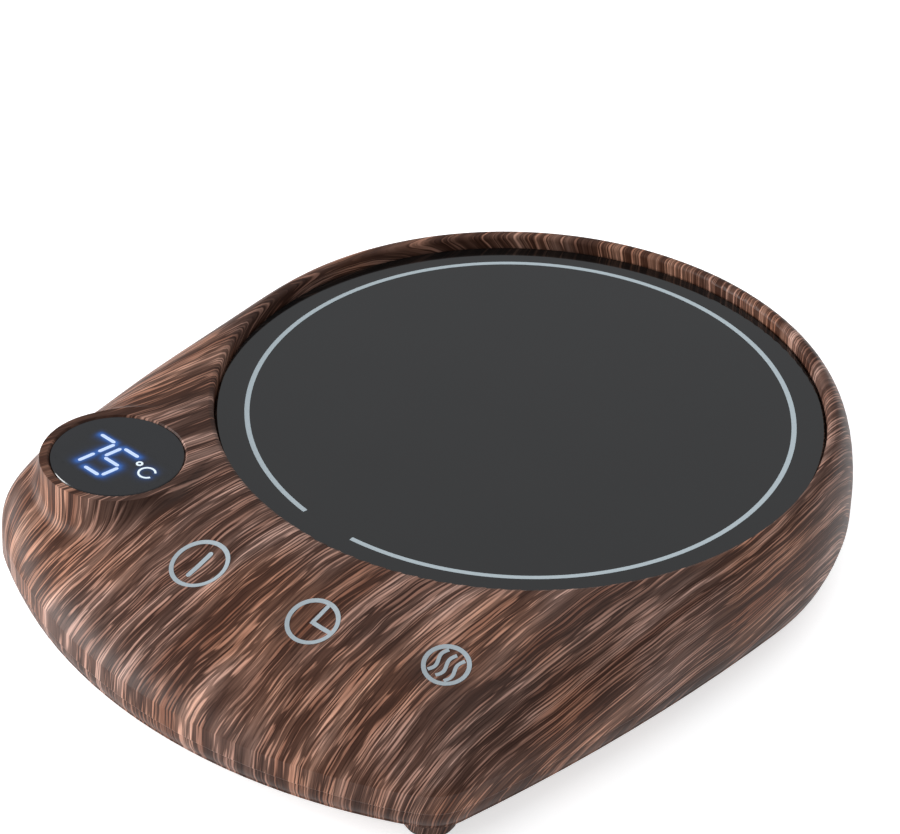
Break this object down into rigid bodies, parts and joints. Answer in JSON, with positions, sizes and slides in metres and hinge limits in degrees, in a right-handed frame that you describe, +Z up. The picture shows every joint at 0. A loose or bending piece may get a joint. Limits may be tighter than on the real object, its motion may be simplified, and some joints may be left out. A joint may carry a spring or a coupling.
{
  "type": "electric mug warmer",
  "caption": "Low electric mug warmer: a round black glass hot plate sunk in a domed wood-print housing, with a raised round display and touch keys on its sloping front deck.",
  "frame": {"origin": "middle of the footprint, on the plane that the rubber feet stand on", "axes": "+Z up, +Y from the keys and display at the front to the cord inlet at the back, +X to the right of someone facing the keys"},
  "size_m": [0.1182, 0.1512, 0.0268],
  "materials": {
    "wood_print": "moulded plastic with a satin walnut-grain printed film",
    "base_print": "the same printed film on the darker base",
    "plate_glass": "black toughened glass, polished, with a thin grey printed ring",
    "lens_glass": "smoked acrylic lens, polished",
    "foot_rubber": "moulded rubber",
    "gasket_rubber": "grey silicone sheet",
    "grommet_rubber": "black moulded rubber",
    "spreader_aluminium": "machined sheet",
    "film_kapton": "amber polyimide heating film",
    "insulation_fibre": "pressed ceramic fibre felt",
    "pressed_steel": "zinc plated pressed sheet",
    "screw_steel": "zinc plated",
    "spring_steel": "spring wire",
    "sensor_epoxy": "potted epoxy",
    "fuse_ceramic": "white ceramic with tinned leads",
    "board_laminate": "green glass fibre laminate",
    "relay_plastic": "blue moulded case",
    "capacitor_yellow": "yellow moulded case",
    "capacitor_can": "aluminium can in a dark sleeve",
    "ferrite": "dark ferrite drum",
    "part_black": "black moulded case",
    "varistor_blue": "dipped blue epoxy",
    "terminal_green": "green moulded block",
    "display_white": "white moulded number block",
    "stand_plastic": "grey moulded tube"
  },
  "bodies": {
    "root": {"top_cover": "wood_print", "base_shell": "base_print", "glass_plate": "plate_glass", "plate_gasket": "gasket_rubber", "heat_spreader": "spreader_aluminium", "heater_element": "film_kapton", "insulation_pad": "insulation_fibre", "heater_clamp": "pressed_steel", "clamp_screws": "screw_steel", "temperature_sensor": "sensor_epoxy", "thermal_fuse": "fuse_ceramic", "fuse_clip": "pressed_steel", "control_board": "board_laminate", "board_screws": "screw_steel", "relay": "relay_plastic", "film_capacitor": "capacitor_yellow", "smoothing_capacitor": "capacitor_can", "choke": "ferrite", "mains_fuse": "part_black", "varistor": "varistor_blue", "buzzer": "part_black", "controller_chip": "part_black", "terminal_block": "terminal_green", "display_module": "display_white", "display_stand": "stand_plastic", "display_lens": "lens_glass", "cord_grommet": "grommet_rubber", "case_screws": "screw_steel", "touch_spring_power": "spring_steel", "touch_spring_timer": "spring_steel", "touch_spring_heat": "spring_steel", "foot_pad_front_left": "foot_rubber", "foot_pad_front_right": "foot_rubber", "foot_pad_rear_left": "foot_rubber", "foot_pad_rear_right": "foot_rubber"}
  },
  "joints": []
}
